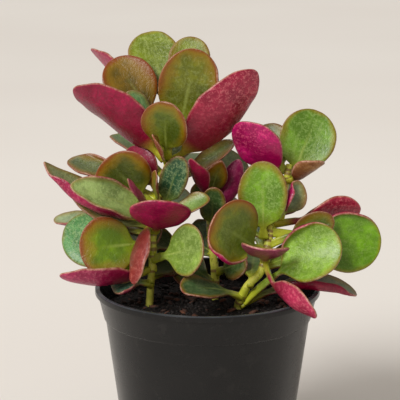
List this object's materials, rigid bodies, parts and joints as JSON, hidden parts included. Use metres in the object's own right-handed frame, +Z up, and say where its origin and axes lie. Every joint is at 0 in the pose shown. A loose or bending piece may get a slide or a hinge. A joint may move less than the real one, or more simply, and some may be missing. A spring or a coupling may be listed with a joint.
{
  "type": "potted succulent",
  "caption": "Bushy succulent with rounded, fleshy, stalked leaves on a few short stems, growing in a tapered round nursery pot filled with potting mix.",
  "frame": {"origin": "middle of the pot's flat base, where it meets the surface it stands on", "axes": "+Z up the pot and the plant, +X to the plant's right and +Y to its back as seen from its front"},
  "size_m": [0.1785, 0.122, 0.2365],
  "materials": {
    "pot": "satin",
    "soil": "rough",
    "stem": "satin",
    "leaf": "satin"
  },
  "bodies": {
    "root": {"back_leaf_left": "leaf", "back_leaf_low": "leaf", "back_leaf_middle": "leaf", "back_leaf_right": "leaf", "crown_leaf_back_left": "leaf", "crown_leaf_back_right": "leaf", "crown_leaf_behind": "leaf", "crown_leaf_far_left": "leaf", "crown_leaf_front": "leaf", "crown_leaf_left": "leaf", "crown_leaf_low_front": "leaf", "crown_leaf_low_left": "leaf", "crown_leaf_low_right": "leaf", "crown_leaf_mid_left": "leaf", "crown_leaf_under_right": "leaf", "crown_young_leaf": "leaf", "left_leaf_behind": "leaf", "left_leaf_forward": "leaf", "left_leaf_front": "leaf", "left_leaf_hanging": "leaf", "left_leaf_long": "leaf", "left_leaf_low_back": "leaf", "left_leaf_low_far": "leaf", "left_leaf_lowest": "leaf", "left_leaf_on_rim": "leaf", "left_leaf_round": "leaf", "left_leaf_spoon": "leaf", "left_leaf_upper": "leaf", "left_leaf_upper_back": "leaf", "left_young_leaf_inner": "leaf", "left_young_leaf_outer": "leaf", "middle_leaf_back": "leaf", "middle_leaf_dark": "leaf", "middle_leaf_low_left": "leaf", "middle_leaf_low_round": "leaf", "middle_leaf_small": "leaf", "middle_leaf_streaked": "leaf", "middle_leaf_upright": "leaf", "middle_stem": "stem", "middle_young_leaf": "leaf", "pot": "pot", "right_leaf_drooping": "leaf", "right_leaf_folded": "leaf", "right_leaf_forward": "leaf", "right_leaf_front": "leaf", "right_leaf_inner_back": "leaf", "right_leaf_inner_dark": "leaf", "right_leaf_inner_front": "leaf", "right_leaf_low_left": "leaf", "right_leaf_over_rim": "leaf", "right_leaf_round": "leaf", "right_leaf_shoulder": "leaf", "right_leaf_top": "leaf", "right_leaf_top_back": "leaf", "right_leaf_top_front": "leaf", "right_leaf_top_left": "leaf", "right_leaf_upright": "leaf", "right_stem": "stem", "soil": "soil", "tall_stem": "stem"}
  },
  "joints": []
}
